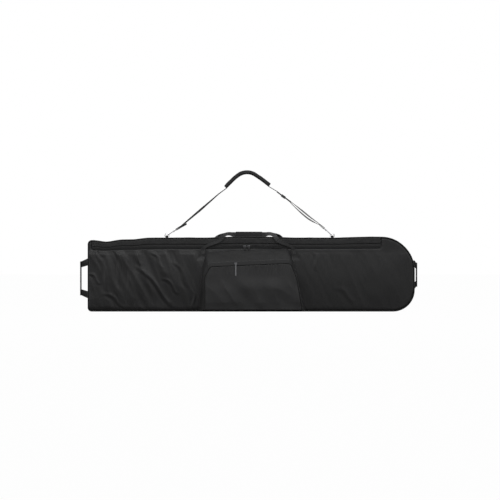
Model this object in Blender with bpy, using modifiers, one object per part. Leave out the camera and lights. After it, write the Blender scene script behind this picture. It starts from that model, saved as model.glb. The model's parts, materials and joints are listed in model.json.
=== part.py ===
"""A padded snowboard bag that stands on its long bottom edge.

The tail end is at -X, the nose at +X, the front faces -Y, and the bag stands on Z = 0.
Sizes are in metres. Every size that can be set by itself is a named value below.
"""

import math

import bmesh
import bpy
from mathutils import Matrix, Vector

# ---------------------------------------------------------------- driving dimensions
LENGTH = 1.652            # tail to nose
HEIGHT = 0.374            # bottom edge to top edge
DEPTH = 0.140             # front face to back face
NOSE_TOP_RADIUS = 0.165
NOSE_FOOT_RADIUS = 0.110
TAIL_RADIUS = 0.020
GAP = 0.0003              # between pieces that are sewn or pressed together
RUN = 0.0006              # between pieces that move past each other

FABRIC = 0.002            # outer shell cloth
FOAM = 0.005
LINING = 0.001
GUSSET = 0.008            # padded strip between the front and the back
PIPING_RADIUS = 0.0032

LID_SHORT = 0.006         # the lid ends this far before the nose's curve
ZIP_HEIGHT = 0.3292       # closed line of the main zip
ZIP_TAPE = 0.010          # each tape, from the closed line to its panel
ZIP_TAPE_THICK = 0.002
ZIP_RECESS = 0.0018       # tapes lie this far behind the front face
COIL = 0.003              # height and thickness of the coil's bead on each tape
SLIDER_LENGTH = 0.014
SLIDER_HEIGHT = 0.012
SLIDER_PLATE = 0.0026
PULL_LENGTH = 0.0175
PULL_WIDTH = 0.007
PULL_BEAD = 0.0014
PLATE_PROUD = 0.0009      # a main slider's plate in front of the face
PLATE_CHAMFER = 0.001
SLIDER_PITCH = 0.019      # between the two main sliders when the zip is closed
SLIDERS_AT = -0.022       # where they meet

POCKET_REACH = 0.065      # how far the pocket stands in front of the bag
POCKET_WALL = 0.005
POCKET_ZIP = 0.014        # the last stretch of its wall, along Y, is zip tape
POCKET_ZIP_WALL = 0.0025
POCKET_FRONT = 0.005
FLOOR_CLEAR = 0.0024      # the pocket floor from the sloping ends, along X
POCKET_PIPING_RADIUS = 0.0024
POCKET_SLOPE = 0.044      # the top edge rises towards the nose
POCKET_BASE = ((-0.267, 0.006), (-0.245, 0.240), (-0.226, 0.2997))
POCKET_BASE_NOSE = ((0.190, None), (0.213, 0.245), (0.272, 0.006))
POCKET_FACE = ((-0.234, 0.012), (-0.236, 0.175), (-0.205, 0.2316))
POCKET_FACE_NOSE = ((0.198, None), (0.232, 0.165), (0.257, 0.012))
POCKET_FILLETS = (0.060, 0.026)
POCKET_SLIDER_AT = -0.077
POCKET_PULL_LENGTH = 0.056

WEBBING = 0.0022
HANDLE_WIDTH = 0.022
HANDLE_FEET = (-0.2425, 0.2140)
HANDLE_FOOT_TOP = 0.3120
HANDLE_FOOT_HEIGHT = 0.024
HANDLE_BEAD = 0.0016      # rolled edge on which a webbing handle turns
GRIP = (-0.077, 0.055)    # the wrapped stretch
GRIP_Y = -0.034
GRIP_Z = 0.3905
HANDLE_PATH = {-1: (0.075, 0.062, -0.058), 1: (0.045, 0.085, 0.004)}   # climb, edge, top
HANDLE_PROUD = 0.0085     # how far a leg stands out from the face
HANDLE_OVER = 0.0065      # and where it passes the top edge
HANDLE_BEND = (0.012, 0.014)   # the leg's first bend from its foot, along and up
HANDLE_HEIGHTS = (-0.018, 0.0100, 0.0185)   # of three places on a leg, from the top edge
HANDLE_TWIST = 0.042      # where the webbing turns on edge, from the wrap
GRIP_STATIONS = (0.020, 0.012, 0.010)
GRIP_BOW = 0.004
WRAP_WALL = 0.002
WRAP_MARGIN = 0.0005

END_WEBBING_WIDTH = 0.036
END_WEBBING = 0.003
END_BEAD = 0.0032
END_PATCH = 0.0022
TAIL_HANDLE = (0.065, 0.268, 0.045)   # lowest, highest, reach from the tail
NOSE_HANDLE = (0.112, 0.258, 0.0195)

RING_AT = (-0.430, 0.414)
RING_WIRE = 0.002
RING_ARC = 0.011
RING_RISE = 0.0070        # bar above the top face
RING_LEG = 0.0040         # from the bar to the centre of the ring's arc
TAB_WIDTH = 0.014
TAB_WALL = 0.0018
TAB_FOOT = 0.026
TAB_NECK = 0.0022          # half the width of the two layers under the ring
HOOK_WIRE = 0.0021
HOOK_HALF = 0.008
HOOK_LENGTH = 0.0235      # inside of the bow to the base
HOOK_BASE = 0.005
STEM = 0.0025
STEM_HEAD = 0.0038
STEM_HEAD_LENGTH = 0.002
EYE_BLOCK = 0.005
EYE_REACH = 0.014
EYE_WIRE = 0.0018
GATE_WIRE = 0.0017
GATE_SHORT = 0.0005       # the gate ends this far before the bow
STRAP_WIDTH = 0.030
PAD_WIDTH = 0.058
PAD_THICK = 0.016
STRAP_ENDS = ((-0.3755, 0.4200), (0.3590, 0.4330))
PAD_PATH = ((-0.1326, 0.6330), (-0.0800, 0.6840), (-0.0420, 0.7060),
            (0.0000, 0.7060), (0.0430, 0.6820), (0.0950, 0.6430))
TRIGLIDE_AT = (0.1655, 0.5850)
TRIGLIDE_TURN = math.radians(36.5)
TRIGLIDE_RUN = 0.042      # straight webbing on each side of the adjuster
STRAP_RISE = ((-0.2600, 0.5150), (-0.1650, 0.5980))
STRAP_FALL = ((0.2600, 0.5120), (0.3050, 0.4760))
TRIGLIDE_LENGTH = 0.024
TRIGLIDE_WALL = 0.0022
RETURN_SAG = 0.012
RETURN_LEAD = 0.015       # where the returning webbing starts to close up
STRAP_JOIN = 0.030        # from an eye to where its two layers lie together

# ---------------------------------------------------------------- worked out from them
HALF = LENGTH / 2
FRONT = -DEPTH / 2
STACK = FABRIC + GAP + FOAM
NOTCH = 2 * PIPING_RADIUS + GAP
GUSSET_EDGE = DEPTH / 2 - STACK - GAP
LINING_INSET = GUSSET + GAP
LID_TAIL = -HALF + TAIL_RADIUS + RUN
LID_NOSE = HALF - NOSE_TOP_RADIUS - LID_SHORT
ZIP_LOW = ZIP_HEIGHT - ZIP_TAPE
ZIP_HIGH = ZIP_HEIGHT + ZIP_TAPE
# along the pull, from the centre of a D-ring's arc
BOW = RING_ARC - RING_WIRE - HOOK_WIRE - GAP
BOW_CENTRE = BOW + HOOK_HALF
BASE_START = BOW + HOOK_WIRE + HOOK_LENGTH
BASE_END = BASE_START + HOOK_BASE
BLOCK_START = BASE_END + RUN
BLOCK_END = BLOCK_START + EYE_BLOCK
STEM_END = BLOCK_END + RUN + STEM_HEAD_LENGTH
BAR = BLOCK_END + EYE_REACH

part = bpy.data.collections.new("snowboard_bag")
cutters = bpy.data.collections.new("cutters")


# ---------------------------------------------------------------- helpers
def clear_scene():
    for item in list(bpy.data.objects):
        bpy.data.objects.remove(item)
    for group in (part, cutters):
        bpy.context.scene.collection.children.link(group)


def material(name, colour, roughness, metallic=0.0):
    found = bpy.data.materials.get(name)
    if found:
        return found
    made = bpy.data.materials.new(name)
    made.use_nodes = True
    shader = made.node_tree.nodes["Principled BSDF"]
    shader.inputs["Base Color"].default_value = (*colour, 1.0)
    shader.inputs["Roughness"].default_value = roughness
    shader.inputs["Metallic"].default_value = metallic
    return made


def shell_cloth():
    return material("shell_cloth", (0.018, 0.018, 0.020), 0.62)


def piping_cloth():
    return material("piping_cloth", (0.008, 0.008, 0.009), 0.55)


def webbing_cloth():
    return material("webbing", (0.022, 0.022, 0.024), 0.50)


def zip_tape_cloth():
    return material("zip_tape", (0.012, 0.012, 0.013), 0.60)


def lining_cloth():
    return material("lining", (0.055, 0.055, 0.060), 0.60)


def foam_fill():
    return material("foam", (0.16, 0.16, 0.17), 0.90)


def pad_cloth():
    return material("pad_cloth", (0.014, 0.014, 0.016), 0.70)


def plated_metal():
    return material("plated_metal", (0.62, 0.62, 0.64), 0.22, 1.0)


def zip_metal():
    return material("zip_metal", (0.20, 0.20, 0.21), 0.38, 1.0)


def moulded_plastic():
    return material("moulded_plastic", (0.016, 0.016, 0.017), 0.42)


def add(name, data, skin, group=part):
    """A named object with its material, in its collection."""
    made = bpy.data.objects.new(name, data)
    data.materials.append(skin)
    group.objects.link(made)
    return made


def arc(x, z, radius, start, end, steps=8):
    """Points of an arc, with its angles in degrees."""
    turns = (math.radians(start + (end - start) * i / steps) for i in range(steps + 1))
    return [(x + radius * math.cos(t), z + radius * math.sin(t)) for t in turns]


def flat(name, outline, low, high, skin, holes=()):
    """A filled outline in X and Z, from low to high along Y."""
    curve = bpy.data.curves.new(name, "CURVE")
    curve.dimensions = "2D"
    curve.fill_mode = "BOTH"
    curve.extrude = (high - low) / 2
    for points in (outline, *holes):
        spline = curve.splines.new("POLY")
        spline.points.add(len(points) - 1)
        for point, (x, z) in zip(spline.points, points):
            point.co = (x, z, 0.0, 1.0)
        spline.use_cyclic_u = True
    made = add(name, curve, skin)
    made.rotation_euler.x = math.pi / 2
    made.location.y = (low + high) / 2
    return made


def run(name, profile, low, high, skin, holes=()):
    """A filled outline in Y and Z, from low to high along X."""
    made = flat(name, profile, -(high - low) / 2, (high - low) / 2, skin, holes)
    made.rotation_euler = (math.pi / 2, 0.0, math.pi / 2)
    made.location = ((low + high) / 2, 0.0, 0.0)
    return made


def box(name, low, high, skin, group=part):
    mesh = bpy.data.meshes.new(name)
    shape = bmesh.new()
    bmesh.ops.create_cube(shape, size=1.0)
    size = Vector(high) - Vector(low)
    bmesh.ops.scale(shape, vec=size, verts=shape.verts)
    bmesh.ops.translate(shape, vec=(Vector(low) + Vector(high)) / 2, verts=shape.verts)
    shape.to_mesh(mesh)
    shape.free()
    return add(name, mesh, skin, group)


def rod(name, start, end, radius, skin, sides=20, group=part):
    """A cylinder from one point to another."""
    mesh = bpy.data.meshes.new(name)
    shape = bmesh.new()
    axis = Vector(end) - Vector(start)
    place = axis.to_track_quat("Z", "Y").to_matrix().to_4x4()
    place.translation = (Vector(start) + Vector(end)) / 2
    bmesh.ops.create_cone(shape, cap_ends=True, segments=sides, radius1=radius,
                          radius2=radius, depth=axis.length, matrix=place)
    shape.to_mesh(mesh)
    shape.free()
    return add(name, mesh, skin, group)


def tube(name, points, radius, skin, closed=False, resolution=2):
    """A round bar along a line of points."""
    curve = bpy.data.curves.new(name, "CURVE")
    curve.dimensions = "3D"
    curve.bevel_depth = radius
    curve.bevel_resolution = resolution
    curve.use_fill_caps = True
    spline = curve.splines.new("POLY")
    spline.points.add(len(points) - 1)
    for point, place in zip(spline.points, points):
        point.co = (*place, 1.0)
    spline.use_cyclic_u = closed
    return add(name, curve, skin)


def as_mesh(made):
    """Turns a curve object into a welded mesh object of the same name."""
    name, place, skin = made.name, made.matrix_basis.copy(), made.data.materials[0]
    seen = made.evaluated_get(bpy.context.evaluated_depsgraph_get())
    mesh = bpy.data.meshes.new_from_object(seen)
    shape = bmesh.new()
    shape.from_mesh(mesh)
    bmesh.ops.remove_doubles(shape, verts=shape.verts, dist=1e-6)
    bmesh.ops.recalc_face_normals(shape, faces=shape.faces)
    shape.to_mesh(mesh)
    shape.free()
    mesh.materials.clear()
    bpy.data.objects.remove(made)
    solid = add(name, mesh, skin)
    solid.matrix_basis = place
    return solid


def combine(base, tools, operation="UNION"):
    """Joins or cuts base with each tool, and keeps the tools as hidden guides."""
    for tool in tools:
        change = base.modifiers.new(tool.name, "BOOLEAN")
        change.operation = operation
        change.object = tool
        if tool.name in part.objects:
            part.objects.unlink(tool)
            cutters.objects.link(tool)
        tool.hide_render = True
        tool.display_type = "WIRE"
    return base


def smooth_path(points, steps=6):
    """A Catmull-Rom line through the points."""
    points = [Vector(p) for p in points]
    ends = [points[0] * 2 - points[1], *points, points[-1] * 2 - points[-2]]
    line = []
    for a, b, c, d in zip(ends, ends[1:], ends[2:], ends[3:]):
        for i in range(steps):
            t = i / steps
            line.append(0.5 * ((2 * b) + (c - a) * t + (2 * a - 5 * b + 4 * c - d) * t * t
                               + (3 * b - a - 3 * c + d) * t ** 3))
    return line + [points[-1]]


def offset_path(points, shift):
    """The line moved sideways, to its left where shift is positive."""
    points = [Vector(p) for p in points]
    moved = []
    for i, here in enumerate(points):
        before = points[max(i - 1, 0)]
        after = points[min(i + 1, len(points) - 1)]
        into = (here - before).normalized() if i else (after - here).normalized()
        out = (after - here).normalized() if i < len(points) - 1 else into
        side = (Vector((-into.y, into.x)) + Vector((-out.y, out.x))).normalized()
        stretch = 1 / max(0.5, side.dot(Vector((-into.y, into.x))))
        moved.append(here + side * shift * stretch)
    return moved


def strip(name, path, thickness, width, skin):
    """Webbing on edge: a line in X and Z with a thickness, width wide along Y."""
    outline = offset_path(path, thickness / 2) + offset_path(path, -thickness / 2)[::-1]
    return flat(name, [tuple(p) for p in outline], -width / 2, width / 2, skin)


def fillet(corners, radii, steps=6):
    """Corners of an open line rounded with arcs, each with as many points."""
    corners = [Vector(c) for c in corners]
    line = [corners[0]]
    for before, here, after, radius in zip(corners, corners[1:], corners[2:], radii):
        a, b = (before - here).normalized(), (after - here).normalized()
        half = a.angle(b) / 2
        reach = radius / math.tan(half)
        centre = here + (a + b).normalized() * (radius / math.sin(half))
        start, end = here + a * reach - centre, here + b * reach - centre
        turn = start.angle_signed(end)
        for i in range(steps + 1):
            line.append(centre + Matrix.Rotation(-turn * i / steps, 2) @ start)
    return line + [corners[-1]]


# ---------------------------------------------------------------- the bag's outline
def tail_foot(inset):
    return arc(-HALF + TAIL_RADIUS, TAIL_RADIUS, TAIL_RADIUS - inset, 180, 270, 5)


def nose_foot(inset):
    return arc(HALF - NOSE_FOOT_RADIUS, NOSE_FOOT_RADIUS, NOSE_FOOT_RADIUS - inset, 270, 360, 14)


def nose_top(inset):
    return arc(HALF - NOSE_TOP_RADIUS, HEIGHT - NOSE_TOP_RADIUS, NOSE_TOP_RADIUS - inset, 0, 90, 18)


def tail_top(inset):
    return arc(-HALF + TAIL_RADIUS, HEIGHT - TAIL_RADIUS, TAIL_RADIUS - inset, 90, 180, 5)


def bag_outline(inset, sill=None):
    """The side view of the bag, with room for the lid above the sill where one is given."""
    room = []
    if sill is not None:
        low, high = LID_TAIL - RUN, LID_NOSE + RUN
        room = [(high, HEIGHT - inset), (high, sill), (low, sill), (low, HEIGHT - inset)]
    return tail_foot(inset) + nose_foot(inset) + nose_top(inset) + room + tail_top(inset)


def layer(name, side, start, thickness, inset, skin, sill=None):
    """One flat layer of the front (-1) or back (1) wall, start deep behind its face."""
    outer = side * (DEPTH / 2 - start)
    inner = side * (DEPTH / 2 - start - thickness)
    return flat(name, bag_outline(inset, sill), min(outer, inner), max(outer, inner), skin)


def walls():
    sill = ZIP_LOW - GAP
    for name, side, low in (("front", -1, sill), ("back", 1, None)):
        layer(name + "_panel", side, 0.0, FABRIC, NOTCH, shell_cloth(), low)
        layer(name + "_padding", side, FABRIC + GAP, FOAM, NOTCH, foam_fill(), low)
        layer(name + "_lining", side, STACK + GAP, LINING, LINING_INSET, lining_cloth(), low)


def gussets():
    edge = GUSSET_EDGE
    foot = HALF - NOSE_FOOT_RADIUS
    box("bottom_gusset", (-HALF + TAIL_RADIUS + GAP, -edge, 0.0), (foot - GAP, edge, GUSSET),
        shell_cloth())
    ribbons = {"tail_end_panel": (tail_top, tail_foot), "nose_gusset": (nose_foot, nose_top)}
    for name, ends in ribbons.items():
        outer, inner = ([p for end in ends for p in end(inset)] for inset in (0.0, GUSSET))
        if name == "nose_gusset":
            outer.append((LID_NOSE + RUN, HEIGHT))
            inner.append((LID_NOSE + RUN, HEIGHT - GUSSET))
        flat(name, outer + inner[::-1], -edge, edge, shell_cloth())


def piping(points, side):
    """A cord in cloth at the corner between a face and the gusset."""
    deep = side * (DEPTH / 2 - PIPING_RADIUS)
    return [(x, deep, z) for x, z in points]


def pipings():
    inset = PIPING_RADIUS
    fixed = tail_top(inset) + tail_foot(inset) + nose_foot(inset) + nose_top(inset)
    nose_end = (LID_NOSE + RUN, HEIGHT - inset)
    tube("front_piping", piping(fixed + [nose_end], -1), PIPING_RADIUS, piping_cloth())
    tube("back_piping", piping(fixed, 1), PIPING_RADIUS, piping_cloth(), closed=True)


# ---------------------------------------------------------------- lid and main zip
def lid():
    edge = GUSSET_EDGE
    box("top_gusset", (LID_TAIL, -edge, HEIGHT - GUSSET), (LID_NOSE, edge, HEIGHT), shell_cloth())
    box("top_band", (LID_TAIL, FRONT, ZIP_HIGH + GAP), (LID_NOSE, FRONT + STACK, HEIGHT - NOTCH),
        shell_cloth())
    height = HEIGHT - PIPING_RADIUS
    line = [(LID_TAIL, height), (LID_NOSE, height)]
    tube("lid_piping", piping(line, -1), PIPING_RADIUS, piping_cloth())


def zip_profile(side):
    """Y and Z of one tape with its coil, above (1) or below (-1) the closed line."""
    front = FRONT + ZIP_RECESS
    start, coil, end = GAP / 2, COIL, ZIP_TAPE
    tape = front + (COIL - ZIP_TAPE_THICK) / 2
    points = [(front, start), (front + COIL, start), (front + COIL, coil),
              (tape + ZIP_TAPE_THICK, coil), (tape + ZIP_TAPE_THICK, end), (tape, end),
              (tape, coil), (front, coil)]
    return [(y, ZIP_HEIGHT + side * z) for y, z in points]


def main_zip():
    for name, side in (("main_zip_lower_tape", -1), ("main_zip_upper_tape", 1)):
        run(name, zip_profile(side), LID_TAIL, LID_NOSE, zip_tape_cloth())
    plate = FRONT - PLATE_PROUD
    neck = FRONT + ZIP_RECESS - GAP
    bead = plate - SLIDER_PLATE - GAP - PULL_BEAD
    for name, side in (("left", -1), ("right", 1)):
        x = SLIDERS_AT + side * SLIDER_PITCH / 2
        low, high = ZIP_HEIGHT - SLIDER_HEIGHT / 2, ZIP_HEIGHT + SLIDER_HEIGHT / 2
        outline = [(neck, low), (neck, ZIP_HEIGHT - 2 * GAP), (plate, ZIP_HEIGHT - 2 * GAP),
                   (plate, high), (plate - SLIDER_PLATE, high - PLATE_CHAMFER),
                   (plate - SLIDER_PLATE, low)]
        reach = SLIDER_LENGTH / 2
        run("main_slider_" + name, outline, x - reach, x + reach, zip_metal())
        zip_pull("main_pull_" + name, Vector((x, bead, ZIP_HEIGHT)), PULL_LENGTH)


def zip_pull(name, top, length):
    """A pull tab that hangs from a rolled top edge."""
    half = PULL_WIDTH / 2
    across = Vector((half, 0, 0))
    bead = rod(name, top - across, top + across, PULL_BEAD, webbing_cloth())
    tab = box(name + "_tab", top + Vector((-half, -PULL_BEAD * 0.8, -length)),
              top + Vector((half, PULL_BEAD * 0.8, 0)), webbing_cloth())
    return combine(bead, [tab])


# ---------------------------------------------------------------- boot pocket
def pocket_line(share):
    """The pocket's outline from foot to foot, at this share of its reach."""
    lines = []
    for tail, nose in ((POCKET_BASE, POCKET_BASE_NOSE), (POCKET_FACE, POCKET_FACE_NOSE)):
        ridge = tail[-1][1] + POCKET_SLOPE * (nose[0][0] - tail[-1][0])
        corners = list(tail) + [(nose[0][0], ridge)] + list(nose[1:])
        shoulder, top = POCKET_FILLETS
        lines.append(fillet(corners, (shoulder, top, top, shoulder)))
    return [a.lerp(b, share) for a, b in zip(*lines)]


def pocket_depth(share):
    return FRONT - GAP - share * POCKET_REACH


def wall_between(name, first, last, thickness, skin):
    """A lofted wall along the pocket's outline, between two shares of its reach."""
    rings = []
    for share in (first, last):
        outer = pocket_line(share)
        inner = offset_path(outer, -thickness)
        y = pocket_depth(share)
        rings.append([[(p.x, y, p.y) for p in line] for line in (outer, inner)])
    (base_out, base_in), (face_out, face_in) = rings
    mesh = bpy.data.meshes.new(name)
    shape = bmesh.new()
    loops = [[shape.verts.new(p) for p in line] for line in (base_out, face_out, face_in, base_in)]
    for a, b in zip(loops, loops[1:] + loops[:1]):
        for i in range(len(a) - 1):
            shape.faces.new((a[i], b[i], b[i + 1], a[i + 1]))
    for end in (0, -1):
        shape.faces.new([line[end] for line in loops])
    bmesh.ops.recalc_face_normals(shape, faces=shape.faces)
    shape.to_mesh(mesh)
    shape.free()
    return add(name, mesh, skin)


def pocket():
    zip_start = 1 - POCKET_ZIP / POCKET_REACH
    gap = GAP / POCKET_REACH
    wall_between("pocket_gusset", 0.0, zip_start, POCKET_WALL, shell_cloth())
    wall_between("pocket_zip_tape", zip_start + gap, 1.0, POCKET_ZIP_WALL, zip_tape_cloth())
    base, face = pocket_line(0.0), pocket_line(1.0)
    clear = POCKET_WALL + FLOOR_CLEAR
    floor = bpy.data.meshes.new("pocket_floor")
    shape = bmesh.new()
    bmesh.ops.create_cube(shape, size=1.0)
    for corner in shape.verts:
        line, share = (base, 0.0) if corner.co.y > 0 else (face, 1.0)
        end = line[0] if corner.co.x < 0 else line[-1]
        lift = POCKET_WALL if corner.co.z > 0 else 0.0
        inward = clear if corner.co.x < 0 else -clear
        corner.co = (end.x + inward, pocket_depth(share), end.y + lift)
    shape.to_mesh(floor)
    shape.free()
    add("pocket_floor", floor, shell_cloth())
    pocket_face()


def pocket_face():
    """The front flap with its piping, and the slider that runs over it."""
    line = pocket_line(1.0)
    high = pocket_depth(1.0) - GAP
    room = 2 * POCKET_PIPING_RADIUS + GAP
    outline = [tuple(p) for p in offset_path(line, -room)]
    flat("pocket_front", outline, high - POCKET_FRONT, high, shell_cloth())
    deep = high - POCKET_PIPING_RADIUS
    centre = offset_path(line, -POCKET_PIPING_RADIUS)
    tube("pocket_piping", [(p.x, deep, p.y) for p in centre], POCKET_PIPING_RADIUS, piping_cloth())
    pocket_slider()


def pocket_slider():
    """Lies on the sloping tape just above the ridge, and its pull hangs over the front."""
    tail = Vector(POCKET_FACE[-1])
    along = Vector((1.0, 0.0, POCKET_SLOPE)).normalized()
    face = Vector((POCKET_SLIDER_AT, pocket_depth(1.0),
                   tail.y + POCKET_SLOPE * (POCKET_SLIDER_AT - tail.x)))
    start = Vector(POCKET_BASE[-1])
    base = Vector((POCKET_SLIDER_AT, pocket_depth(0.0),
                   start.y + POCKET_SLOPE * (POCKET_SLIDER_AT - start.x)))
    up = (base - face).normalized()
    out = along.cross(up).normalized()
    if out.z < 0:
        out = -out
    middle = face + up * (POCKET_ZIP / 2) + out * (RUN + SLIDER_PLATE / 2)
    slider = box("pocket_slider", (-SLIDER_LENGTH / 2, -SLIDER_HEIGHT / 2, -SLIDER_PLATE / 2),
                 (SLIDER_LENGTH / 2, SLIDER_HEIGHT / 2, SLIDER_PLATE / 2), zip_metal())
    turn = Matrix((along, up, out)).transposed().to_4x4()
    slider.matrix_world = Matrix.Translation(middle) @ turn
    reach = pocket_depth(1.0) - GAP - POCKET_FRONT - RUN - PULL_BEAD
    top = Vector((POCKET_SLIDER_AT, reach, face.z + PULL_BEAD))
    zip_pull("pocket_pull", top, POCKET_PULL_LENGTH)


# ---------------------------------------------------------------- carry handles
def ribbon(name, stations, width, thickness, skin):
    """Webbing along a free line: each station is a place and the direction across."""
    places = smooth_path([s[0] for s in stations], 4)
    across = smooth_path([s[1] for s in stations], 4)
    mesh = bpy.data.meshes.new(name)
    shape = bmesh.new()
    rows = []
    for place, side in zip(places, across):
        half = side.normalized() * width / 2
        rows.append([shape.verts.new(place - half), shape.verts.new(place + half)])
    for (a, b), (c, d) in zip(rows, rows[1:]):
        shape.faces.new((a, b, d, c))
    shape.to_mesh(mesh)
    shape.free()
    made = add(name, mesh, skin)
    wall = made.modifiers.new("webbing", "SOLIDIFY")
    wall.thickness = thickness
    wall.offset = 0.0
    wall.use_even_offset = True
    return made


def carry_handle(name, side, grip_y):
    """A webbing handle whose rolled feet turn above their patches."""
    face = side * (DEPTH / 2 + GAP + HANDLE_BEAD)
    root = HANDLE_FOOT_TOP + GAP + HANDLE_BEAD
    proud = side * (DEPTH / 2 + HANDLE_PROUD)
    over = side * (DEPTH / 2 + HANDLE_OVER)
    half = HANDLE_WIDTH / 2
    climb, edge, top_y = HANDLE_PATH[side]
    start, bend, past = GRIP_STATIONS
    stations = []
    for foot, grip, lean in ((HANDLE_FEET[0], GRIP[0], 1), (HANDLE_FEET[1], GRIP[1], -1)):
        rise = foot + lean * HANDLE_BEND[0]
        leg = [((foot, face, root), (1, 0, 0)),
               ((rise, (face + proud) / 2, root + HANDLE_BEND[1]), (1, 0, -0.15 * lean)),
               ((foot + lean * climb, proud, HEIGHT + HANDLE_HEIGHTS[0]), (0.87, 0, -0.50 * lean)),
               ((grip - lean * edge, over, HEIGHT + HANDLE_HEIGHTS[1]),
                (0.80, -side * 0.30, -0.50 * lean)),
               ((grip - lean * HANDLE_TWIST, top_y, HEIGHT + HANDLE_HEIGHTS[2]),
                (0.60, -side * 0.40, -0.65 * lean)),
               ((grip - lean * start, grip_y + side * GRIP_BOW, GRIP_Z), (0.15, 0, -lean)),
               ((grip - lean * bend, grip_y, GRIP_Z), (0, 0, -lean)),
               ((grip - lean * bend / 2, grip_y, GRIP_Z), (0, 0, -lean)),
               ((grip + lean * past, grip_y, GRIP_Z), (0, 0, -lean))]
        stations.append([(Vector(p), Vector(a)) for p, a in leg])
    left, right = stations
    path = left + [(p, -a) for p, a in right[::-1]]
    made = ribbon(name, path, HANDLE_WIDTH, WEBBING, webbing_cloth())
    beads = []
    for i, foot in enumerate(HANDLE_FEET):
        beads.append(rod(f"{name}_bead_{i}", (foot - half, face, root), (foot + half, face, root),
                         HANDLE_BEAD, webbing_cloth()))
        patch = "tail" if i == 0 else "nose"
        outer = side * (DEPTH / 2 + GAP + WEBBING)
        inner = side * (DEPTH / 2 + GAP)
        low = HANDLE_FOOT_TOP - HANDLE_FOOT_HEIGHT
        box(f"{name}_patch_{patch}", (foot - half, min(outer, inner), low),
            (foot + half, max(outer, inner), HANDLE_FOOT_TOP), webbing_cloth())
    combine(made, beads)
    return made


def grip_wrap(name, side, grip_y):
    """Half of the padded wrap, a channel over one handle's grip."""
    inner = HANDLE_WIDTH / 2 + WRAP_MARGIN
    outer = inner + WRAP_WALL
    deep = WEBBING / 2 + WRAP_MARGIN
    mouth = GRIP_Y + side * GAP
    floor = grip_y + side * deep
    cap = floor + side * WRAP_WALL
    low, high = GRIP_Z - outer, GRIP_Z + outer
    profile = [(mouth, low), (cap, low), (cap, high), (mouth, high), (mouth, GRIP_Z + inner),
               (floor, GRIP_Z + inner), (floor, GRIP_Z - inner), (mouth, GRIP_Z - inner)]
    return run(name, profile, GRIP[0], GRIP[1], pad_cloth())


def carry_handles():
    for name, side in (("front", -1), ("rear", 1)):
        grip_y = GRIP_Y + side * (WEBBING / 2 + WRAP_MARGIN)
        carry_handle(name + "_handle", side, grip_y)
        grip_wrap(name + "_wrap", side, grip_y)


# ---------------------------------------------------------------- end handles
def end_handle(name, side, low, high, reach):
    """A webbing loop on one end that turns about its two rolled roots."""
    wall = side * HALF
    root = wall + side * (END_PATCH + 2 * GAP + END_BEAD)
    far = wall + side * reach
    near = far - side * END_WEBBING
    half = END_WEBBING_WIDTH / 2
    made = box(name, (min(near, far), -half, low), (max(near, far), half, high), webbing_cloth())
    extras = []
    for i, (a, b) in enumerate(((low, low + END_WEBBING_WIDTH), (high - END_WEBBING_WIDTH, high))):
        x = sorted((root, far - side * END_WEBBING / 2))
        extras.append(box(f"{name}_arm_{i}", (x[0], -END_WEBBING / 2, a),
                          (x[1], END_WEBBING / 2, b), webbing_cloth()))
        extras.append(rod(f"{name}_root_{i}", (root, 0, a), (root, 0, b), END_BEAD, webbing_cloth()))
        patch = sorted((wall + side * GAP, wall + side * (GAP + END_PATCH)))
        place = "foot" if i == 0 else "top"
        box(f"{name}_patch_{place}", (patch[0], -half, a), (patch[1], half, b), webbing_cloth())
    return combine(made, extras)


# ---------------------------------------------------------------- shoulder strap
def strap_direction(side):
    """The ring's arc centre and the direction of the pull, for the tail (0) or nose (1)."""
    ring = Vector((RING_AT[side], 0.0, HEIGHT + RING_RISE + RING_LEG))
    end = Vector((STRAP_ENDS[side][0], 0.0, STRAP_ENDS[side][1]))
    return ring, (end - ring).normalized()


def hook_frame(side):
    """Local X along the pull, Y across the bag, with its origin at the ring's arc centre."""
    ring, pull = strap_direction(side)
    across = Vector((0, 1, 0))
    place = Matrix((pull, across, pull.cross(across))).transposed().to_4x4()
    place.translation = ring
    return place


def ring_and_tab(name, side):
    bar = HEIGHT + RING_RISE
    x = RING_AT[side]
    lift = bar + RING_LEG
    loop = arc(x, lift, RING_ARC, 0, 180, 16)
    points = [(x + RING_ARC, bar)] + loop + [(x - RING_ARC, bar)]
    tube(name + "_d_ring", [(p, 0.0, z) for p, z in points], RING_WIRE, plated_metal(), closed=True)
    bore = RING_WIRE + GAP
    outer = bore + TAB_WALL
    foot = HEIGHT + GAP
    half = TAB_FOOT / 2
    neck = math.degrees(math.asin(TAB_NECK / outer))
    loop = arc(0.0, bar, outer, neck - 90, 270 - neck, 16)
    profile = [(half, foot), (half, foot + TAB_WALL), (TAB_NECK, foot + TAB_WALL), *loop,
               (-TAB_NECK, foot + TAB_WALL), (-half, foot + TAB_WALL), (-half, foot)]
    hole = arc(0.0, bar, bore, 0, 360 - 360 / 16, 15)
    run(name + "_ring_tab", profile, x - TAB_WIDTH / 2, x + TAB_WIDTH / 2, webbing_cloth(), [hole])


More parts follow.
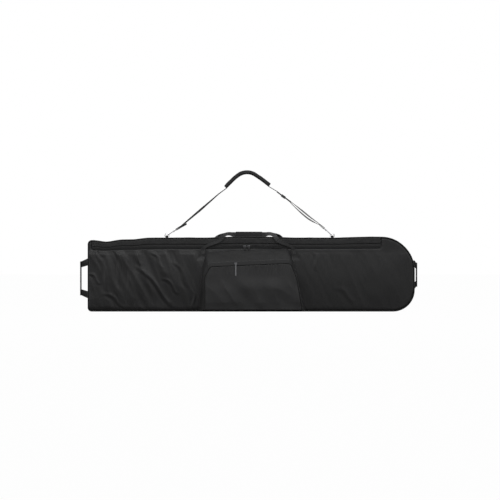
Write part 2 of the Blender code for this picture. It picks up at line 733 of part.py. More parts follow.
def snap_hook(name, side):
    """A swivel hook: a base, a bar bent into a bow, a stem into the eye, and a gate."""
    place = hook_frame(side)
    bow = arc(BOW_CENTRE, 0.0, HOOK_HALF, 270, 90, 12)
    line = [(BASE_START + HOOK_BASE / 2, -HOOK_HALF), *bow]
    points = [place @ Vector((u, v, 0.0)) for u, v in line]
    hook = as_mesh(tube(name + "_snap_hook", points, HOOK_WIRE, plated_metal(), resolution=3))
    base = box(name + "_hook_base", (BASE_START, -HOOK_HALF - HOOK_WIRE, -HOOK_WIRE * 1.2),
               (BASE_END, HOOK_HALF + HOOK_WIRE, HOOK_WIRE * 1.2), plated_metal())
    base.matrix_world = place
    stem = rod(name + "_hook_stem", place @ Vector((BASE_START, 0, 0)),
               place @ Vector((STEM_END, 0, 0)), STEM, plated_metal())
    head = rod(name + "_hook_head", place @ Vector((BLOCK_END + RUN, 0, 0)),
               place @ Vector((STEM_END, 0, 0)), STEM_HEAD, plated_metal())
    combine(hook, [base, stem, head])
    pivot, tip = BASE_START - RUN, BOW_CENTRE + GATE_SHORT
    rod(name + "_hook_gate", place @ Vector((pivot, HOOK_HALF, 0)),
        place @ Vector((tip, HOOK_HALF, 0)), GATE_WIRE, plated_metal())


def swivel_eye(name, side):
    """The block that the hook turns in, with the loop that holds the webbing."""
    place = hook_frame(side)
    wide = STRAP_WIDTH / 2 + GAP * 4 + EYE_WIRE
    loop = [(BLOCK_END - EYE_WIRE, wide), (BAR, wide), (BAR, -wide), (BLOCK_END - EYE_WIRE, -wide)]
    points = [place @ Vector((u, v, 0.0)) for u, v in loop]
    eye = as_mesh(tube(name + "_swivel_eye", points, EYE_WIRE, plated_metal(), closed=True))
    block = box(name + "_eye_block", (BLOCK_START, -STEM_HEAD * 1.5, -STEM_HEAD),
                (BLOCK_END, STEM_HEAD * 1.5, STEM_HEAD), plated_metal())
    block.matrix_world = place
    bore = rod(name + "_eye_bore", place @ Vector((BLOCK_START - 0.002, 0, 0)),
               place @ Vector((BLOCK_END + 0.002, 0, 0)), STEM + GAP, plated_metal())
    combine(combine(eye, [block]), [bore], "DIFFERENCE")


def eye_bar(side):
    """Where an eye's bar lies in X and Z, the pull, and the side that faces up."""
    ring, pull = strap_direction(side)
    centre = Vector((ring.x, ring.z)) + Vector((pull.x, pull.z)) * BAR
    pull = Vector((pull.x, pull.z))
    up = Vector((-pull.y, pull.x))
    return centre, pull, up if up.y > 0 else -up


def fold(side):
    """The webbing's half turn round an eye's bar, from its upper side to its lower."""
    centre, pull, up = eye_bar(side)
    reach = EYE_WIRE + GAP + WEBBING / 2
    turns = (math.pi * i / 10 for i in range(11))
    return [centre + up * reach * math.cos(t) - pull * reach * math.sin(t) for t in turns]


def shoulder_strap():
    step = WEBBING + 2 * RUN
    pad_low = offset_path(smooth_path(PAD_PATH, 8), -(PAD_THICK + WEBBING) / 2 - GAP)
    glide = Vector(TRIGLIDE_AT)
    lay = Vector((math.cos(TRIGLIDE_TURN), -math.sin(TRIGLIDE_TURN)))
    down = Vector((lay.y, -lay.x))
    before, after = glide - lay * TRIGLIDE_RUN, glide + lay * TRIGLIDE_RUN
    tail, tail_pull, tail_up = eye_bar(0)
    nose, nose_pull, nose_up = eye_bar(1)
    tail_join, nose_join = tail + tail_pull * STRAP_JOIN, nose + nose_pull * STRAP_JOIN
    tail_return = [tail_join + tail_pull * STRAP_JOIN - tail_up * step * 1.2,
                   tail_join - tail_up * step * 0.8]
    rise = [tail_join + tail_up * step * 0.4, *(Vector(p) for p in STRAP_RISE)]
    fall = [before, glide, after, *(Vector(p) for p in STRAP_FALL), nose_join + nose_up * step * 0.4]
    sag = down * RETURN_SAG
    back = [nose_join - nose_up * step * 0.7, *(Vector(p) + sag for p in STRAP_FALL[::-1]),
            after + lay * RETURN_LEAD + down * step * 2, after + down * step, glide + down * step,
            before + down * step]
    path = tail_return + fold(0)[::-1] + smooth_path(rise, 3) + pad_low
    path += smooth_path(fall, 3) + fold(1) + smooth_path(back, 3)
    strip("strap_webbing", path, WEBBING, STRAP_WIDTH, webbing_cloth())
    strip("shoulder_pad", smooth_path(PAD_PATH, 8), PAD_THICK, PAD_WIDTH, pad_cloth())
    triglide(glide, lay, down, step)


def triglide(glide, lay, down, step):
    """The adjuster: a flat sleeve round both runs of webbing."""
    tall = (WEBBING + step) / 2 + 2 * GAP
    centre = glide + down * step / 2
    place = Matrix(((lay.x, 0, -down.x), (0, 1, 0), (lay.y, 0, -down.y))).to_4x4()
    place.translation = Vector((centre.x, 0.0, centre.y))
    wide = STRAP_WIDTH / 2 + 2 * GAP
    half = TRIGLIDE_LENGTH / 2
    wall = TRIGLIDE_WALL
    made = box("strap_slider", (-half, -wide - wall, -tall - wall), (half, wide + wall, tall + wall),
               moulded_plastic())
    slot = box("strap_slider_slot", (-half - wall, -wide, -tall), (half + wall, wide, tall),
               moulded_plastic(), cutters)
    for item in (made, slot):
        item.matrix_world = place
    combine(made, [slot], "DIFFERENCE")


def build():
    clear_scene()
    walls()
    gussets()
    pipings()
    lid()
    main_zip()
    pocket()
    carry_handles()
    end_handle("tail_handle", -1, *TAIL_HANDLE)
    end_handle("nose_handle", 1, *NOSE_HANDLE)
    for side, name in enumerate(("left", "right")):
        ring_and_tab(name, side)
        snap_hook(name, side)
        swivel_eye(name, side)
    shoulder_strap()


build()
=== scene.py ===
# %% [markdown]
# # A padded snowboard bag
# The bag is sewn from padded cloth panels, webbing, zips and a few metal hooks. This lesson
# starts from the measured frame of the bag, then gives each soft part its own cloth form and
# each surface its own finish.

# %% Load the frame
import json
import math

import bmesh
import bpy
import numpy as np
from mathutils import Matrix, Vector, noise


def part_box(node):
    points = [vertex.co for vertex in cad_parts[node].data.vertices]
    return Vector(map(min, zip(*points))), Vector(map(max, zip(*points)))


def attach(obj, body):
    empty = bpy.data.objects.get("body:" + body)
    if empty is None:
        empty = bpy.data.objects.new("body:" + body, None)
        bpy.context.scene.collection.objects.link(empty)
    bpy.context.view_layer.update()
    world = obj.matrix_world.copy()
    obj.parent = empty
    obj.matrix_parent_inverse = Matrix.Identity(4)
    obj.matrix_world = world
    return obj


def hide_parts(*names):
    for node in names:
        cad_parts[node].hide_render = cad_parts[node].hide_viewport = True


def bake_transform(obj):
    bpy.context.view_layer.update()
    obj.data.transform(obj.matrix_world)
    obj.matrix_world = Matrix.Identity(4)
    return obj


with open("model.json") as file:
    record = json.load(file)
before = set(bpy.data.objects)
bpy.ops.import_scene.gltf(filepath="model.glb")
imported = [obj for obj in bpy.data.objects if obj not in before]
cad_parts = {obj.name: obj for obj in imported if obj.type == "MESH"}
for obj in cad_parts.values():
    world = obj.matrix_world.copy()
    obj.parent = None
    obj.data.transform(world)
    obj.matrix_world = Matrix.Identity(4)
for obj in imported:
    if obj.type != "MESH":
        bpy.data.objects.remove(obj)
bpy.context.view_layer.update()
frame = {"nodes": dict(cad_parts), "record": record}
nodes = frame["nodes"]


# %% [markdown]
# Shader maths is easier to read as Python. A small class wraps one output socket, so that
# adding or multiplying two of them adds a Math node. The other way is to place and link each
# node by hand, which hides the idea in long lists of links.

# %% A socket that does arithmetic
class Wire:
    def __init__(self, tree, socket):
        self.tree = tree
        self.socket = socket

    def maths(self, operation, other):
        node = self.tree.nodes.new("ShaderNodeMath")
        node.operation = operation
        for slot, value in zip(node.inputs, (self, other)):
            connect(self.tree, slot, value)
        return Wire(self.tree, node.outputs[0])

    def __add__(self, other):
        return self.maths("ADD", other)

    def __mul__(self, other):
        return self.maths("MULTIPLY", other)

    __radd__ = __add__
    __rmul__ = __mul__


def connect(tree, slot, value):
    if isinstance(value, Wire):
        tree.links.new(value.socket, slot)
    else:
        slot.default_value = value


def node(tree, kind, output=0, settings=None, **inputs):
    made = tree.nodes.new(kind)
    for name, value in (settings or {}).items():
        setattr(made, name, value)
    for name, value in inputs.items():
        connect(tree, made.inputs[name.replace("_", " ")], value)
    return Wire(tree, made.outputs[output])


print("shader helpers ready")

# %% [markdown]
# Black cloth is never one black. A weave breaks up its light, dust and rubbing vary its shade
# over a hand's width, and raised places catch more light. Each cloth here mixes two close
# greys by a slow noise and lifts its surface with two crossed waves at the thread's size.


# %% Cloth and webbing finishes
def finish_material(name, slot_colour, rough, metallic=0.0):
    made = bpy.data.materials.new(name)
    made.use_nodes = True
    shader = made.node_tree.nodes["Principled BSDF"]
    shader.inputs["Base Color"].default_value = (*slot_colour, 1)
    shader.inputs["Roughness"].default_value = rough
    shader.inputs["Metallic"].default_value = metallic
    return made, made.node_tree, shader


def cloth(name, dark, light, thread, depth, rough=0.62, sheen=0.0):
    made, tree, shader = finish_material(name, dark, rough)
    place = node(tree, "ShaderNodeTexCoord", "Object")
    cloud = node(tree, "ShaderNodeTexNoise", 0, Vector=place, Scale=9.0, Detail=5.0)
    fine = node(tree, "ShaderNodeTexNoise", 0, Vector=place, Scale=160.0, Detail=2.0)
    share = cloud * 0.7 + fine * 0.3
    mix = tree.nodes.new("ShaderNodeMix")
    mix.data_type = "RGBA"
    connect(tree, mix.inputs[0], share)
    mix.inputs[6].default_value = (*dark, 1)
    mix.inputs[7].default_value = (*light, 1)
    tree.links.new(mix.outputs[2], shader.inputs["Base Color"])
    turns = 1 / thread / 6.2832
    waves = [node(tree, "ShaderNodeTexWave", 1, {"bands_direction": way}, Vector=place,
                  Scale=turns, Distortion=0.6) for way in ("X", "Z")]
    cross = waves[0] * 0.5 + waves[1] * 0.5
    weave = cross + fine * 0.5
    bump = node(tree, "ShaderNodeBump", 0, Height=weave, Distance=depth, Strength=0.6)
    tree.links.new(bump.socket, shader.inputs["Normal"])
    connect(tree, shader.inputs["Roughness"], cloud * 0.16 + (rough - 0.08))
    shader.inputs["Sheen Weight"].default_value = sheen
    shader.inputs["Specular IOR Level"].default_value = 0.32
    return made


shell_cloth = cloth("shell_polyester", (0.0064, 0.0064, 0.0067), (0.0125, 0.0125, 0.0129),
                    0.0010, 0.0004, 0.46, 0.02)
pocket_cloth = cloth("pocket_polyester", (0.0125, 0.0125, 0.0129), (0.0235, 0.0235, 0.0242), 0.0010,
                     0.0004, 0.46, 0.02)
cord_cloth = cloth("piping_cloth", (0.003, 0.003, 0.003), (0.007, 0.007, 0.0072), 0.0008, 0.0003)
# The webbing's greys are lighter than its own black: they paint in the sheen highlights along the
# handle legs, and the noise between them is the webbing's own uneven tone.
webbing_cloth_painted_highlight = cloth("handle_webbing", (0.016, 0.016, 0.0165), (0.038, 0.038, 0.039), 0.0016, 0.0006,
                  0.40, 0.05)
pad_cloth = cloth("pad_cloth", (0.007, 0.007, 0.0075), (0.017, 0.017, 0.018), 0.0012, 0.0004, 0.6)
tape_cloth = cloth("zip_tape", (0.004, 0.004, 0.0042), (0.010, 0.010, 0.0105), 0.0008, 0.0003)
pull_cloth = cloth("pull_tape", (0.14, 0.14, 0.145), (0.25, 0.25, 0.26), 0.0010, 0.0003)
inside_cloth = cloth("lining_cloth", (0.035, 0.035, 0.038), (0.06, 0.06, 0.065), 0.0008, 0.0002, 0.7)
thread_cloth = cloth("sewing_thread", (0.012, 0.012, 0.012), (0.035, 0.035, 0.036), 0.0004, 0.0001,
                     0.4, 0.2)
print("cloths ready")

# %% [markdown]
# The hooks and rings are nickel plated, the zip sliders are painted and the clips are moulded
# nylon. Handling leaves fine scratches on all of them, so one helper varies their gloss with a
# small noise and lifts the surface by it. A single value would look like new plastic.


# %% Metal and plastic finishes
def hard(name, colour, rough, metallic, scratch):
    made, tree, shader = finish_material(name, colour, rough, metallic)
    place = node(tree, "ShaderNodeTexCoord", "Object")
    wear = node(tree, "ShaderNodeTexNoise", 0, Vector=place, Scale=350.0, Detail=4.0)
    connect(tree, shader.inputs["Roughness"], wear * 0.16 + (rough - 0.08))
    bump = node(tree, "ShaderNodeBump", 0, Height=wear, Distance=scratch, Strength=0.4)
    tree.links.new(bump.socket, shader.inputs["Normal"])
    return made


nickel = hard("nickel_plate", (0.66, 0.66, 0.68), 0.20, 1.0, 0.0001)
zip_paint = hard("painted_zip", (0.10, 0.10, 0.105), 0.35, 0.6, 0.0001)
black_plastic = hard("moulded_plastic", (0.016, 0.016, 0.017), 0.42, 0.0, 0.0002)
coil_nylon = hard("zip_coil", (0.010, 0.010, 0.0105), 0.35, 0.0, 0.0001)
print(len(bpy.data.materials), "materials")

# %% [markdown]
# Padded cloth has no sharp edges. A panel is cut flat and sewn, so its filling swells it
# between the seams and pulls creases out of every corner. One helper does this for each soft
# piece: it joins the measured solids, remeshes them to an even skin, rounds that skin, and
# then moves every point by a rule for the creases on that piece.


# %% Soft skins from the measured solids
def soft(name, sources, voxel, skin, body, rule=None, smooth=6, thicker=0.0):
    """A cloth skin over some measured solids; thicker lifts thin cloth before the grid."""
    shape = bmesh.new()
    for source in sources:
        shape.from_mesh(nodes[source].data)
    if thicker:
        bmesh.ops.remove_doubles(shape, verts=shape.verts, dist=1e-6)
        shape.normal_update()
        for corner in shape.verts:
            corner.co += corner.normal * thicker * corner.calc_shell_factor()
    mesh = bpy.data.meshes.new(name)
    shape.to_mesh(mesh)
    shape.free()
    made = bpy.data.objects.new(name, mesh)
    bpy.context.scene.collection.objects.link(made)
    grid = made.modifiers.new("grid", "REMESH")
    grid.mode = "VOXEL"
    grid.voxel_size = voxel
    round_off = made.modifiers.new("round", "SMOOTH")
    round_off.iterations = smooth
    graph = bpy.context.evaluated_depsgraph_get()
    graph.update()
    final = bpy.data.meshes.new_from_object(made.evaluated_get(graph))
    made.modifiers.clear()
    made.data = final
    if rule:
        count = len(final.vertices)
        places = np.empty(count * 3)
        final.vertices.foreach_get("co", places)
        places = places.reshape(-1, 3)
        moved = np.array([rule(Vector(p), v.normal) for p, v in zip(places, final.vertices)])
        final.vertices.foreach_set("co", moved.ravel())
    final.polygons.foreach_set("use_smooth", [True] * len(final.polygons))
    final.materials.clear()
    final.materials.append(skin)
    final.update()
    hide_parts(*sources)
    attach(made, body)
    print(name, len(final.polygons), "faces")
    return made


def fold(across, along, seed):
    """Soft backs with sharp valleys between them, about 0 to 1."""
    return 1.0 - 2.2 * abs(noise.noise(Vector((across + seed, along, seed))))


def swell(value, low, high):
    share = min(1.0, max(0.0, (value - low) / (high - low)))
    return math.sin(math.pi * share)


HANDLE_FEET = (-0.2425, 0.2140)   # the cloth lies flat under the handles' sewn feet

# Each crease: where it starts and ends along and up the flank, its half width and its height.
CREASES = ((-0.695, 0.335, -0.648, 0.15, 0.0086, 0.0072),
           (-0.605, 0.326, -0.55, 0.245, 0.0079, 0.0059),
           (-0.505, 0.3, -0.44, 0.228, 0.0072, 0.0055),
           (-0.56, 0.215, -0.4, 0.042, 0.0086, 0.0072),
           (-0.44, 0.165, -0.366, 0.1, 0.0065, 0.0051),
           (-0.765, 0.275, -0.712, 0.105, 0.0101, 0.0064),
           (-0.385, 0.245, -0.318, 0.14, 0.0072, 0.0047),
           (-0.8, 0.34, -0.742, 0.29, 0.0072, 0.0051),
           (-0.64, 0.25, -0.6, 0.09, 0.0072, 0.0043),
           (-0.735, 0.09, -0.64, 0.03, 0.0079, 0.0047),
           (-0.82, 0.19, -0.76, 0.15, 0.0065, 0.0043),
           (-0.3, 0.11, -0.284, 0.02, 0.0058, 0.0034),
           (0.315, 0.3, 0.335, 0.215, 0.0086, 0.0026),
           (0.43, 0.12, 0.52, 0.06, 0.0115, 0.0019))


def pulled(x, z):
    """How far the creases lift the cloth at one place; each has a hollow on its lower side."""
    lift = 0.0
    for x0, z0, x1, z1, width, height in CREASES:
        along_x, along_z = x1 - x0, z1 - z0
        length = math.hypot(along_x, along_z)
        share = ((x - x0) * along_x + (z - z0) * along_z) / length ** 2
        if -0.15 < share < 1.15:
            bow = 0.010 * math.sin(math.pi * share * 1.6)
            across = ((x - x0) * along_z - (z - z0) * along_x) / length + bow
            fade = math.sin(math.pi * (share + 0.15) / 1.3)
            lift += height * fade * math.exp(-((across / width) ** 2))
            lift -= 0.55 * height * fade * math.exp(-(((across - 1.7 * width) / (1.3 * width)) ** 2))
    return lift


def settle(p):
    """The top edge is slack: it drops towards the tail and lifts a little before the nose."""
    high = min(1.0, max(0.0, (p.z - 0.285) / 0.08))
    drop = min(1.0, max(0.0, (-0.470 - p.x) / 0.28))
    wave = -0.017 * drop * drop * (3 - 2 * drop) - 0.004 * drop * math.sin((p.x + 0.47) * 42)
    wave += 0.0045 * swell(p.x, 0.44, 0.80) + 0.0062 * swell(p.x, -0.215, 0.200)
    return Vector((p.x, p.y, p.z + wave * high * high * (3 - 2 * high)))


def flank(p, normal):
    """The long faces: swollen between the seams, with more creases near the tail."""
    side = -1 if p.y < 0 else 1
    if abs(p.y) < 0.0655:
        return settle(p)
    top = 0.300 if side < 0 else 0.374
    crown = 0.0075 * swell(p.z, 0.0, top) * min(1, (0.826 - abs(p.x)) * 8)
    slack = 0.25 + 0.75 / (1 + math.exp((p.x + 0.28) * 14))
    leaning = p.x + 0.40 * p.z
    creases = 0.0065 * fold(leaning * 13, p.z * 3.2, 3.1) + 0.0030 * fold(leaning * 31, p.z * 7, 8.4)
    lumps = 0.0036 * noise.noise(Vector((p.x * 6, side, p.z * 9)))
    lumps += 0.0012 * noise.noise(Vector((p.x * 21, side, p.z * 13)))
    room = min(1.0, max(0.0, (0.318 - p.z) / 0.03)) if side < 0 else 1.0
    edge = min(1.0, max(0.0, p.z - 0.004) / 0.02) * room
    out = crown + (creases * slack + lumps * slack + pulled(p.x, p.z)) * edge
    for foot in HANDLE_FEET:
        out *= min(1.0, max(abs(p.x - foot) - 0.013, 0.280 - p.z, 0.0) / 0.022)
    return settle(Vector((p.x, p.y + side * out, p.z)))


soft("front_shell", ("front_panel", "front_padding"), 0.0042, shell_cloth, "bag", flank, 3)
soft("back_shell", ("back_panel", "back_padding"), 0.0042, shell_cloth, "bag", flank, 3)


# %% [markdown]
# A long strip joins the front to the back all the way round. It is one layer of cloth that
# gathers in small waves between its seams, so the same helper is used with a finer grid and a
# low wave. The bottom strip is left almost flat, because the bag stands on it.


# %% The strip round the edge
def gather(amount, pitch, hung=False):
    """A rule for small waves; hung is for pieces that don't follow the slack top edge."""
    def rule(p, normal):
        lift = noise.noise(p * pitch) + 0.5 * noise.noise(p * pitch * 2.3)
        moved = p + normal * amount * lift
        return moved if hung else settle(moved)
    return rule


def underlap(p, normal):
    """The bottom strip reaches a little under the ends it is sewn to."""
    return Vector((p.x * 1.0045, p.y, p.z)) + normal * 0.0004 * noise.noise(p * 16)


soft("bottom_gusset_skin", ("bottom_gusset",), 0.0032, shell_cloth, "bag", underlap)
for strip_name in ("tail_end_panel", "nose_gusset"):
    soft(strip_name + "_skin", (strip_name,), 0.0032, shell_cloth, "bag", gather(0.0018, 16))
soft("top_gusset_skin", ("top_gusset",), 0.0034, shell_cloth, "lid", gather(0.0012, 14))
soft("top_band_skin", ("top_band",), 0.0024, shell_cloth, "lid", gather(0.0010, 24))


# %% [markdown]
# The boot pocket is a box of thin cloth on the front. Its walls buckle under the seam and its
# flap is pulled smooth by the piping, with shallow hollows between. Thin walls need a finer
# grid than the padded sides.

# %% The boot pocket
def flap(p, normal):
    """The pocket's front: full in the middle, puckered under its top seam, flat at its foot."""
    mid = swell(p.x, -0.236, 0.26) * swell(p.z, 0.0, 0.235)
    lumps = 0.0042 * noise.noise(Vector((p.x * 8, 0, p.z * 10)))
    under_seam = max(0.0, (p.z - 0.19) / 0.05) * 0.0016 * fold(p.x * 60, p.z * 4, 2.2)
    drape = 0.0052 * fold(p.x * 11 + p.z * 7, p.z * 4, 6.3)
    below = min(1.0, max(0.0, (0.205 - p.z) / 0.095))
    below = below * below * (3 - 2 * below) * min(1.0, max(0.0, p.z - 0.014) / 0.035)
    out = (0.0040 * mid ** 0.6 + lumps + drape * (0.4 + mid) * 0.7) * below
    out -= 2.0 * under_seam
    return p + Vector((0, -out if p.y < -0.1375 else -out * 0.8, 0))


soft("pocket_wall_skin", ("pocket_gusset",), 0.0018, shell_cloth, "bag", gather(0.0008, 22), 3,
     0.0013)
soft("pocket_flap_skin", ("pocket_front",), 0.0026, pocket_cloth, "pocket_flap", flap, 3)
soft("pocket_floor_skin", ("pocket_floor",), 0.0026, pocket_cloth, "bag",
     lambda p, normal: Vector((p.x + 0.0036 * math.copysign(1, p.x), p.y, p.z)))

# %% [markdown]
# The shoulder pad and the wrap on the carry handles are foam in a sleeve. They swell in the
# middle and are flat at their bound ends.

# %% Pad and wraps
pad = soft("shoulder_pad_skin", ("shoulder_pad",), 0.0026, pad_cloth, "shoulder_strap",
           gather(0.0010, 40, True), 4)
for side in ("front", "rear"):
    soft(side + "_wrap_skin", (side + "_wrap",), 0.0007, pad_cloth, side + "_handle",
         gather(0.0003, 60, True), 4)

# %% [markdown]
# Webbing and hooks have their right shape already. Each gets a copy with rounded edges, because
# a small bevel is what catches a line of light on a real edge.


# %% Rounded copies
def refined(name, source, skin, body, width, rule=None, angle=35):
    """A copy of one measured solid with a small bevel, and a rule that may bend it."""
    mesh = nodes[source].data.copy()
    made = bpy.data.objects.new(name, mesh)
    bpy.context.scene.collection.objects.link(made)
    shape = bmesh.new()
    shape.from_mesh(mesh)
    bmesh.ops.remove_doubles(shape, verts=shape.verts, dist=1e-6)
    bmesh.ops.dissolve_limit(shape, angle_limit=math.radians(1), verts=shape.verts,
                             edges=shape.edges)
    for face in shape.faces:
        face.smooth = True
    if rule:
        long_edges = [e for e in shape.edges if e.calc_length() > 0.2]
        if long_edges:
            bmesh.ops.subdivide_edges(shape, edges=long_edges, cuts=90, use_grid_fill=True)
        for corner in shape.verts:
            corner.co = rule(corner.co.copy())
    shape.to_mesh(mesh)
    shape.free()
    mesh.set_sharp_from_angle(angle=math.radians(angle))
    mesh.materials.clear()
    mesh.materials.append(skin)
    edge = made.modifiers.new("edge", "BEVEL")
    edge.width = width
    edge.segments = 2
    edge.limit_method = "ANGLE"
    edge.angle_limit = math.radians(angle)
    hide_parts(source)
    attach(made, body)
    return made


def twist(p):
    """The strap's webbing turns a little between its hooks, the pad and the adjuster."""
    turn = -0.34 * swell(p.x, -0.385, -0.150) + 0.30 * swell(p.x, 0.202, 0.352)
    turn += 0.22 * swell(p.x, 0.100, 0.132)
    return Vector((p.x, p.y, p.z + p.y * turn))


TAIL_HANDLE_HEIGHT, NOSE_HANDLE_HEIGHT = 0.1665, 0.185   # the middles of the end handles


def tail_loop(p):
    """The tail handle's outer side is shorter than its sewn side."""
    share = min(1.0, max(0.0, (-0.838 - p.x) / 0.022))
    middle = TAIL_HANDLE_HEIGHT
    return Vector((p.x, p.y, middle + (p.z - middle) * (1 - 0.15 * share)))


def nose_loop(p):
    """The nose handle is drawn in the same way, over a shorter reach."""
    share = min(1.0, max(0.0, (p.x - 0.834) / 0.008))
    middle = NOSE_HANDLE_HEIGHT
    return Vector((p.x, p.y, middle + (p.z - middle) * (1 - 0.16 * share)))


shapes = {"strap_webbing": twist, "tail_handle": tail_loop, "nose_handle": nose_loop}
body_of = {n: b for b, names in frame["record"]["behaviour"]["bodies"].items() for n in names}
finishes = {"webbing": (webbing_cloth_painted_highlight, 0.0005), "piping": (cord_cloth, 0.0002),
            "zip_tape": (tape_cloth, 0.0002), "zip_metal": (zip_paint, 0.0006),
            "pull_cord": (pull_cloth, 0.0005), "hook_metal": (nickel, 0.0004),
            "moulded_plastic": (black_plastic, 0.0008), "lining": (inside_cloth, 0.0003)}
done = 0
for entry in frame["record"]["subparts"]:
    if entry["material_slot"] in finishes:
        skin, width = finishes[entry["material_slot"]]
        if entry["node"].startswith("main_pull"):
            skin = webbing_cloth_painted_highlight
        body = body_of[entry["node"]]
        rule = shapes.get(entry["node"], settle if body in ("bag", "lid") else None)
        refined(entry["node"] + "_piece", entry["node"], skin, body, width, rule)
        done += 1
print(done, "rounded pieces")

# %% [markdown]
# Stitches repeat along a seam, so Geometry Nodes place them: a line is cut into even steps and
# a short thread is put at each. The tree ends by realising the copies and setting their
# material, which makes them a plain mesh.


# %% A stitching tree
def row_tree(name, pitch, length, radius, skin):
    tree = bpy.data.node_groups.new(name, "GeometryNodeTree")
    tree.interface.new_socket("Line", in_out="INPUT", socket_type="NodeSocketGeometry")
    for title, value in (("Pitch", pitch), ("Length", length), ("Radius", radius)):
        size = tree.interface.new_socket(title, in_out="INPUT", socket_type="NodeSocketFloat")
        size.default_value = value
    tree.interface.new_socket("Row", in_out="OUTPUT", socket_type="NodeSocketGeometry")
    add, link = tree.nodes.new, tree.links.new
    start, end = add("NodeGroupInput"), add("NodeGroupOutput")
    steps = add("GeometryNodeCurveToPoints")
    steps.mode = "LENGTH"
    thread = add("GeometryNodeMeshCylinder")
    thread.inputs["Vertices"].default_value = 6
    place = add("GeometryNodeInstanceOnPoints")
    real, paint = add("GeometryNodeRealizeInstances"), add("GeometryNodeSetMaterial")
    paint.inputs["Material"].default_value = skin
    link(start.outputs["Line"], steps.inputs["Curve"])
    link(start.outputs["Pitch"], steps.inputs["Length"])
    link(start.outputs["Length"], thread.inputs["Depth"])
    link(start.outputs["Radius"], thread.inputs["Radius"])
    link(steps.outputs["Points"], place.inputs["Points"])
    link(thread.outputs["Mesh"], place.inputs["Instance"])
    link(steps.outputs["Rotation"], place.inputs["Rotation"])
    link(place.outputs["Instances"], real.inputs["Geometry"])
    link(real.outputs["Geometry"], paint.inputs["Geometry"])
    link(paint.outputs["Geometry"], end.inputs["Row"])
    return tree


def row(name, lines, tree, body):
    """Copies along some lines, made a plain mesh that follows the slack top edge."""
    curve = bpy.data.curves.new(name, "CURVE")
    curve.dimensions = "3D"
    for points in lines:
        spline = curve.splines.new("POLY")
        spline.points.add(len(points) - 1)
        for point, place in zip(spline.points, points):
            point.co = (*place, 1)
    source = bpy.data.objects.new(name + "_line", curve)
    bpy.context.scene.collection.objects.link(source)
    source.modifiers.new("row", "NODES").node_group = tree
    graph = bpy.context.evaluated_depsgraph_get()
    graph.update()
    mesh = bpy.data.meshes.new_from_object(source.evaluated_get(graph))
    bpy.data.objects.remove(source)
    for corner in mesh.vertices:
        corner.co = settle(corner.co.copy())
    made = bpy.data.objects.new(name, mesh)
    bpy.context.scene.collection.objects.link(made)
    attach(made, body)
    print(name, len(mesh.polygons), "faces")
    return made


# %% Rows of thread
seam = row_tree("seam_thread", 0.0042, 0.0030, 0.00045, thread_cloth)
low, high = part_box("top_band")
line_y = low[1] - 0.0005
row("band_stitches", [[(low[0] + 0.01, line_y, low[2] + 0.004),
                       (high[0] - 0.01, line_y, low[2] + 0.004)]], seam, "lid")
panel_low, panel_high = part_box("front_panel")
row("panel_stitches", [[(low[0] + 0.01, line_y, panel_high[2] - 0.058),
                        (high[0] - 0.01, line_y, panel_high[2] - 0.058)]], seam, "bag")
patch_lines = []
for patch in [n for n in nodes if "_handle_patch_" in n and n.split("_")[0] in ("front", "rear")]:
    a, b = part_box(patch)
    y = a[1] - 0.0003 if a[1] < 0 else b[1] + 0.0003
    left, right, foot, top = a[0] + 0.003, b[0] - 0.003, a[2] + 0.003, b[2] - 0.003
    corners = [(left, y, foot), (right, y, foot), (right, y, top), (left, y, top), (left, y, foot)]
    patch_lines += [corners, [corners[0], corners[2]], [corners[1], corners[3]]]
row("patch_stitches", patch_lines, seam, "bag")

# %% [markdown]
# A coil zip has a nylon turn every millimetre or two. The same tree places them, with a shorter
# step and a thicker, shorter thread, along the meeting edges of both tapes.

# %% Zip teeth
teeth = row_tree("zip_teeth", 0.0016, 0.0008, 0.0014, coil_nylon)
for tape, body, shift in (("main_zip_upper_tape", "lid", 1), ("main_zip_lower_tape", "bag", -1)):
    a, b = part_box(tape)
    z = (a[2] if shift > 0 else b[2]) + shift * 0.0015
    row(tape + "_teeth", [[(a[0] + 0.004, a[1] + 0.0013, z), (b[0] - 0.004, a[1] + 0.0013, z)]],
        teeth, body)

# %% [markdown]
# The pocket's zip runs round its front rim, so its teeth follow the rim of the measured tape.
# The rim's points come unsorted, and the outer edge over them gives the line in order.


# %% Teeth round the pocket
def outline_over(points):
    """The upper edge over a set of places, from left to right."""
    chain = []
    for x, z in sorted(points):
        while len(chain) > 1:
            (ax, az), (bx, bz) = chain[-2:]
            if (bx - ax) * (z - az) - (bz - az) * (x - ax) < 0:
                break
            chain.pop()
        chain.append((x, z))
    return chain


rim = [v.co.copy() for v in nodes["pocket_zip_tape"].data.vertices]
rim_front = min(v.y for v in rim)
edge_line = outline_over({(round(v.x, 5), round(v.z, 5)) for v in rim if v.y < rim_front + 1e-4})
path = [(x, rim_front + 0.0075, z + 0.0004) for x, z in edge_line]
row("pocket_teeth", [path], teeth, "bag")


# %% [markdown]
# The flap hangs on a strip of cloth along its foot, which bends as the flap opens. It is built
# as one sheet whose rows of points run over the fold, because a strip cut in two would gap at the
# fold.

# %% The strip that holds the flap
low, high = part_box("pocket_front")
floor_low, floor_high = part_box("pocket_floor")
across = 60                                                  # steps along the strip
up = (-0.010, -0.006, -0.003, 0.0, 0.003, 0.006, 0.010)      # rows of points over the fold
rows = len(up)
mesh = bpy.data.meshes.new("pocket_hinge_strip")
columns = [low[0] + 0.0005 + (high[0] - low[0] - 0.001) * i / across for i in range(across + 1)]
corners = []
for x in columns:
    for step in up:
        y = high[1] + 0.0016 - 0.0004 * math.cos(step * 150) if step < 0 else high[1] + 0.0012
        corners.append((x, y - min(0.0, step) * 0.9, floor_high[2] + 0.0012 + max(0.0, step)))
faces = [(i * rows + j, i * rows + j + 1, (i + 1) * rows + j + 1, (i + 1) * rows + j)
         for i in range(across) for j in range(rows - 1)]
mesh.from_pydata(corners, [], faces)
strip = bpy.data.objects.new("pocket_hinge_strip", mesh)
bpy.context.scene.collection.objects.link(strip)
mesh.materials.append(inside_cloth)
mesh.polygons.foreach_set("use_smooth", [True] * len(mesh.polygons))
shape = bmesh.new()
shape.from_mesh(mesh)
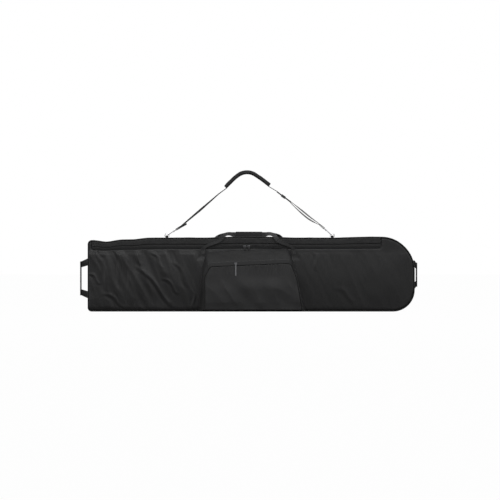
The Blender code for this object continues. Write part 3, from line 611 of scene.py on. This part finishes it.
bmesh.ops.solidify(shape, geom=shape.faces[:], thickness=0.0008)
bmesh.ops.recalc_face_normals(shape, faces=shape.faces)
shape.to_mesh(mesh)
shape.free()
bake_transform(strip)
print("strip", len(mesh.polygons), "faces")

# %% [markdown]
# The set is plain: a white floor and backdrop, one large soft light above and in front, and
# two weaker ones at the sides that draw the creases.


# %% Floor and backdrop
def stage_sheet(name, corners):
    mesh = bpy.data.meshes.new(name)
    mesh.from_pydata(corners, [], [(0, 1, 2, 3)])
    made = bpy.data.objects.new(name, mesh)
    bpy.context.scene.collection.objects.link(made)
    made.data.materials.append(stage_white)


stage_white, tree, shader = finish_material("white_set", (0.60, 0.60, 0.60), 0.9)
rays = tree.nodes.new("ShaderNodeLightPath")
seen = Wire(tree, rays.outputs["Is Camera Ray"])
glow = tree.nodes.new("ShaderNodeEmission")
glow.inputs["Strength"].default_value = 1.0
glow.inputs["Color"].default_value = (1, 1, 1, 1)
blend_in = tree.nodes.new("ShaderNodeMixShader")
connect(tree, blend_in.inputs[0], seen * 0.985)
tree.links.new(shader.outputs[0], blend_in.inputs[1])
tree.links.new(glow.outputs[0], blend_in.inputs[2])
tree.links.new(blend_in.outputs[0], tree.nodes["Material Output"].inputs["Surface"])
stage_sheet("floor", [(-9, -9, -0.0005), (9, -9, -0.0005), (9, 9, -0.0005), (-9, 9, -0.0005)])

world = bpy.data.worlds.new("studio")
bpy.context.scene.world = world
world.use_nodes = True
sky = world.node_tree
rays = sky.nodes.new("ShaderNodeLightPath")
glossy = Wire(sky, rays.outputs["Is Glossy Ray"])
direct = Wire(sky, rays.outputs["Is Camera Ray"]).maths("MAXIMUM", glossy)
background = sky.nodes["Background"]
background.inputs["Color"].default_value = (1, 1, 1, 1)
connect(sky, background.inputs["Strength"], direct * 0.89 + 0.11)
print("set ready")

# %% [markdown]
# Black cloth shows its form only where a light rakes it. A wide soft lamp lies along the top,
# and a tall lamp at each end throws the creases into relief. The camera stands level and far
# back with a long lens, so that both ends are seen almost square on.


# %% Lights and camera
def softbox(name, place, aim, size, watts):
    lamp = bpy.data.lights.new(name, "AREA")
    lamp.shape = "RECTANGLE"
    lamp.size, lamp.size_y = size
    lamp.energy = watts
    made = bpy.data.objects.new(name, lamp)
    bpy.context.scene.collection.objects.link(made)
    made.location = place
    made.rotation_euler = (Vector(aim) - Vector(place)).to_track_quat("-Z", "Y").to_euler()


softbox("key", (0.1, -1.5, 1.70), (0.1, 0, 0.3), (2.4, 0.35), 19)
softbox("left_rake", (-2.8, -0.9, 1.1), (0, 0, 0.25), (0.3, 0.9), 11)
softbox("right_rake", (2.8, -0.9, 1.1), (0, 0, 0.25), (0.3, 0.9), 6)
camera = bpy.data.cameras.new("camera")
camera.sensor_width = 36
camera.lens = 84.6
viewer = bpy.data.objects.new("camera", camera)
bpy.context.scene.collection.objects.link(viewer)
viewer.location = (-0.006, -6.0, 0.311)
viewer.rotation_euler = (math.pi / 2, 0, 0)
bpy.context.scene.camera = viewer
bpy.context.scene.view_settings.view_transform = "Standard"
print("lights and camera ready")
